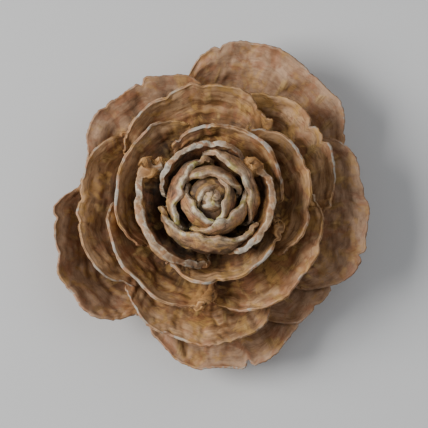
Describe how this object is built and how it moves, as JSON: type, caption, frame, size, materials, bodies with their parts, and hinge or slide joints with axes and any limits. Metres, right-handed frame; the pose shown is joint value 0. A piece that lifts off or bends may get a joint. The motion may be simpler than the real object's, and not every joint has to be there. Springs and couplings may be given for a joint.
{
  "type": "cedar rose cone",
  "caption": "Woody rose-shaped tip of a cedar cone: broad thin scales spiral round a short axis, open below and closed over a bud at the top.",
  "frame": {"origin": "centre of the broken end of the cone's axis, on the surface that the cone stands on", "axes": "+Z along the cone's axis from the broken end towards the bud; +X to the right and +Y away, as the picture looks down on the bud"},
  "size_m": [0.0651, 0.0678, 0.0335],
  "materials": {
    "cone_wood": "dry weathered brown wood, with paler grey-tan edges on the scales"
  },
  "bodies": {
    "root": {"cone": "cone_wood"}
  },
  "joints": []
}
